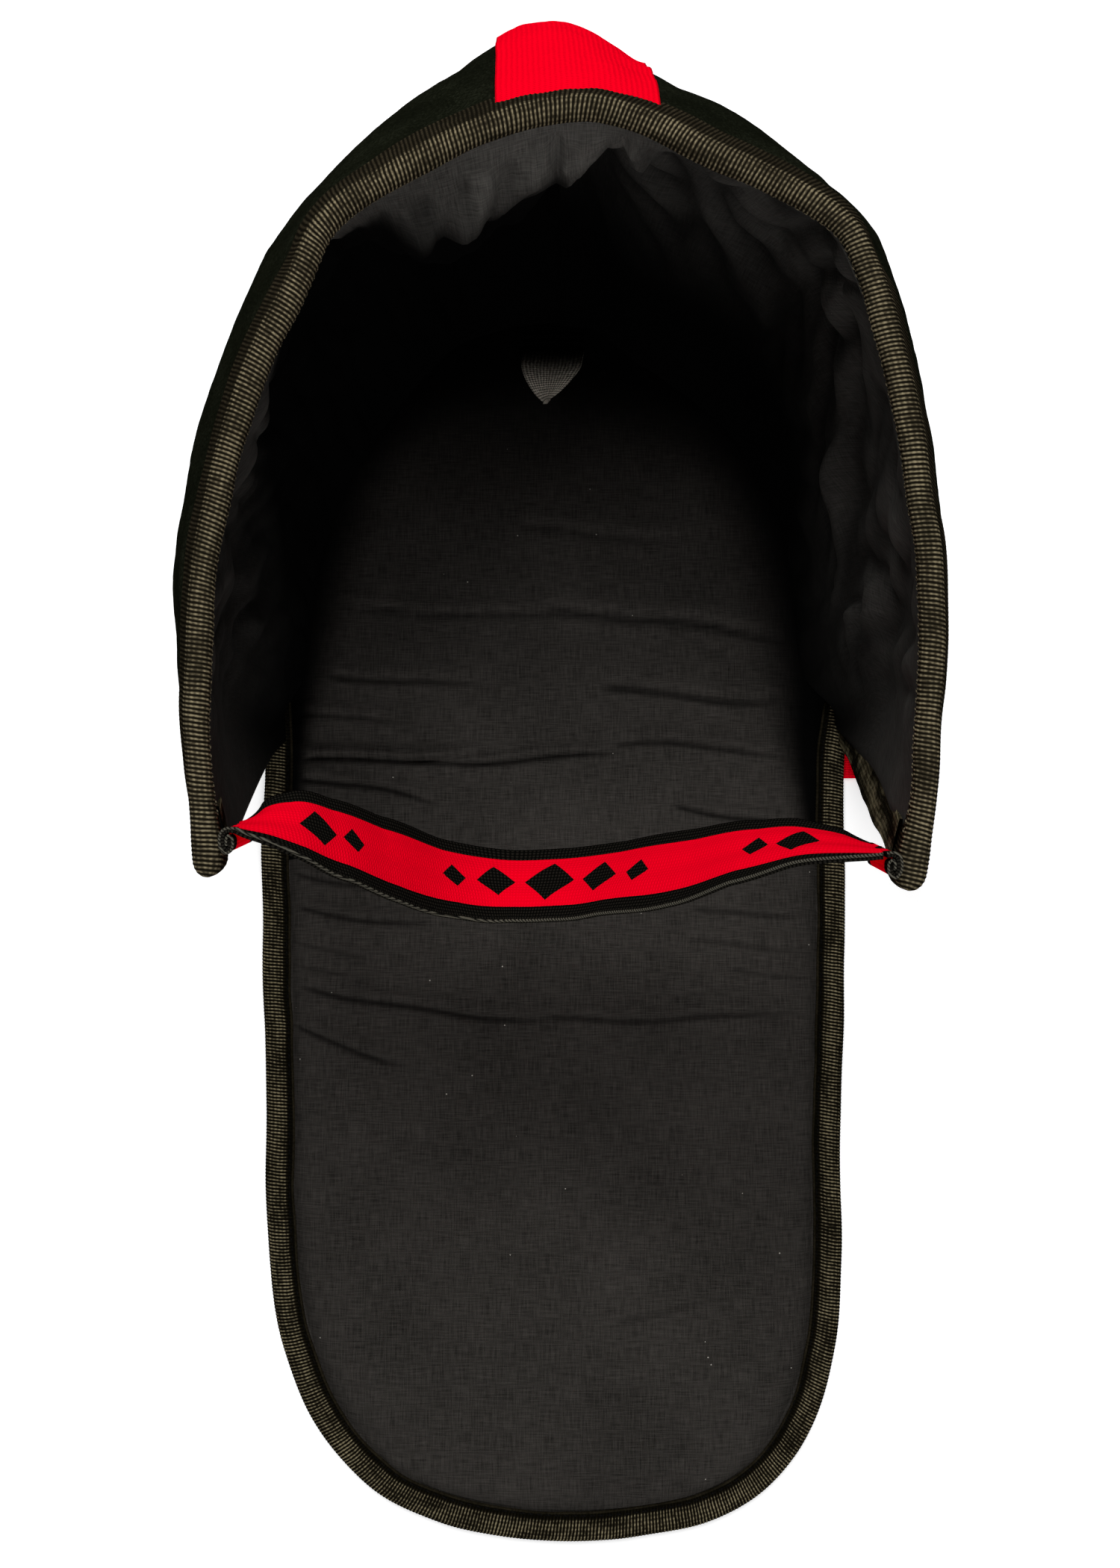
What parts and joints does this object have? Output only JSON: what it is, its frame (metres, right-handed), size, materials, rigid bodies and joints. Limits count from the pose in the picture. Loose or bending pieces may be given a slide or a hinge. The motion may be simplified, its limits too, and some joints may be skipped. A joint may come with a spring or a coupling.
{
  "type": "padded back-of-head hood for a fencing mask",
  "caption": "Padded hood with a bound mouth, a crown stripe, a long padded nape flap and an elastic strap, worn over the back of a fencing mask.",
  "frame": {"origin": "on the face it lies on, at the middle of its width, 6 mm behind the nape fold", "axes": "+X across the hood, +Y towards the crown, +Z out of the mouth with the hood lying on its back"},
  "size_m": [0.2608, 0.5406, 0.2296],
  "materials": {
    "suede": "matt black suede, short nap",
    "red_webbing": "woven polyester webbing",
    "foam": "soft felt padding",
    "lining_cotton": "thin plain-woven cotton",
    "pad_cotton": "plain-woven cotton with slubs",
    "binding_tape": "ribbed grosgrain tape",
    "red_elastic": "woven elastic, red field and black edges",
    "black_webbing": "coarse woven webbing"
  },
  "bodies": {
    "hood": {"back_panel": "suede", "outer_shell_left": "suede", "outer_shell_right": "suede", "crown_stripe": "red_webbing", "nape_band": "red_webbing", "hood_foam_left": "foam", "hood_foam_right": "foam", "hood_lining_left": "lining_cotton", "hood_lining_right": "lining_cotton", "rim_binding": "binding_tape", "hem_binding_left": "binding_tape", "hem_binding_right": "binding_tape", "head_pad_backing": "lining_cotton", "head_pad_foam": "foam", "head_pad_facing": "pad_cotton", "strap_end_left": "red_elastic", "strap_end_right": "red_elastic", "tab_root": "black_webbing"},
    "nape_flap": {"nape_flap_backing": "lining_cotton", "nape_flap_foam": "foam", "nape_flap_facing": "pad_cotton", "nape_flap_binding": "binding_tape"},
    "strap": {"elastic_strap": "red_elastic"},
    "tab": {"webbing_tab": "black_webbing"}
  },
  "joints": [
    {"name": "flap_fold", "type": "hinge", "parent": "hood", "child": "nape_flap", "pos_m": [0, -0.006, 0.00635], "axis": [-1, 0, 0], "range_deg": [-40, 55]},
    {"name": "strap_swing", "type": "hinge", "parent": "hood", "child": "strap", "pos_m": [0, -0.041, 0.19], "axis": [-1, 0, 0], "range_deg": [-80, 170]},
    {"name": "tab_lift", "type": "hinge", "parent": "hood", "child": "tab", "pos_m": [0, 0.181, 0.0137], "axis": [-1, 0, 0], "range_deg": [0, 75]}
  ]
}
